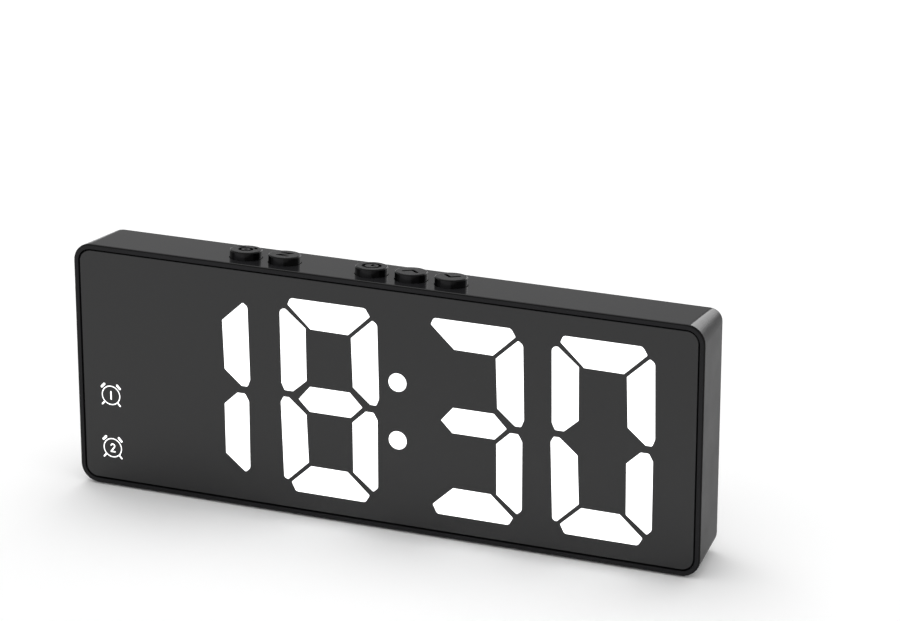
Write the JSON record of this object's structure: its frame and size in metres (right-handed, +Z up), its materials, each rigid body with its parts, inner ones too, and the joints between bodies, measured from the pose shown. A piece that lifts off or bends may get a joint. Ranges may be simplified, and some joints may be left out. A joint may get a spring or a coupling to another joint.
{
  "type": "alarm clock",
  "caption": "Slim upright desk alarm clock with a large seven-segment display, round top keys, a vented back with a battery bulge and sliding door, and a low-voltage inlet.",
  "frame": {"origin": "under the middle of the clock's bounding box, on the surface that its feet stand on", "axes": "+X runs along the clock's width, to the right when its display is read; -Y is the direction the display faces; +Z is up"},
  "size_m": [0.16, 0.025, 0.0637],
  "materials": {
    "housing": "near-black moulding, satin gloss, faint mould texture",
    "lens": "dark tinted acrylic, polished, reads opaque",
    "lit": "white light guide, lit from behind",
    "key": "near-black moulding, satin gloss, engraved symbol",
    "cover": "near-black moulding, fine spark texture",
    "door": "near-black moulding, fine spark texture",
    "foot": "black rubber strip",
    "diffuser": "thin white translucent film",
    "reflector": "white moulding",
    "board": "black solder mask",
    "lamp": "clear body with pale yellow phosphor",
    "screw": "zinc plated",
    "chip": "black moulded package",
    "crystal": "drawn steel can",
    "capacitor": "black sleeve over an aluminium can",
    "switch": "dark grey moulding",
    "plunger": "pale moulding",
    "lead": "black insulation",
    "spring": "nickel plated wire",
    "contact": "nickel plated sheet",
    "cell": "printed jacket over a steel can, no lettering",
    "buzzer": "black moulding",
    "inlet": "black moulding",
    "pin": "nickel plated, dulled",
    "inlet_board": "black solder mask"
  },
  "bodies": {
    "housing": {"front_frame": "housing", "lens_panel": "lens", "digit_hour_tens": "lit", "digit_hour_units": "lit", "digit_minute_tens": "lit", "digit_minute_units": "lit", "colon_dots": "lit", "alarm_icon_one": "lit", "alarm_icon_two": "lit", "diffuser_sheet": "diffuser", "segment_reflector": "reflector", "display_board": "board", "display_leds": "lamp", "board_screws": "screw", "clock_chip": "chip", "quartz_crystal": "crystal", "smoothing_capacitor": "capacitor", "key_switches": "switch", "leads": "lead", "rear_cover": "cover", "battery_springs": "spring", "battery_contacts": "contact", "battery_lower": "cell", "battery_upper": "cell", "buzzer": "buzzer", "dc_jack": "inlet", "jack_centre_pin": "pin", "jack_board": "inlet_board", "front_foot": "foot", "rear_foot": "foot"},
    "alarm_key": {"key_alarm": "key", "plunger_alarm": "plunger"},
    "snooze_key": {"key_snooze": "key", "plunger_snooze": "plunger"},
    "clock_key": {"key_clock": "key", "plunger_clock": "plunger"},
    "up_key": {"key_up": "key", "plunger_up": "plunger"},
    "down_key": {"key_down": "key", "plunger_down": "plunger"},
    "door": {"battery_door": "door"}
  },
  "joints": [
    {"name": "alarm_key_press", "type": "slide", "parent": "housing", "child": "alarm_key", "axis": [0, -0.0903, -0.9959], "range_m": [0, 0.0006], "stiffness_N_per_m": 1500, "springref_m": -0.0004},
    {"name": "snooze_key_press", "type": "slide", "parent": "housing", "child": "snooze_key", "axis": [0, -0.0903, -0.9959], "range_m": [0, 0.0006], "stiffness_N_per_m": 1500, "springref_m": -0.0004},
    {"name": "clock_key_press", "type": "slide", "parent": "housing", "child": "clock_key", "axis": [0, -0.0903, -0.9959], "range_m": [0, 0.0006], "stiffness_N_per_m": 1500, "springref_m": -0.0004},
    {"name": "up_key_press", "type": "slide", "parent": "housing", "child": "up_key", "axis": [0, -0.0903, -0.9959], "range_m": [0, 0.0006], "stiffness_N_per_m": 1500, "springref_m": -0.0004},
    {"name": "down_key_press", "type": "slide", "parent": "housing", "child": "down_key", "axis": [0, -0.0903, -0.9959], "range_m": [0, 0.0006], "stiffness_N_per_m": 1500, "springref_m": -0.0004},
    {"name": "battery_door_slide", "type": "slide", "parent": "housing", "child": "door", "axis": [1, 0, 0], "range_m": [0, 0.0546]}
  ]
}
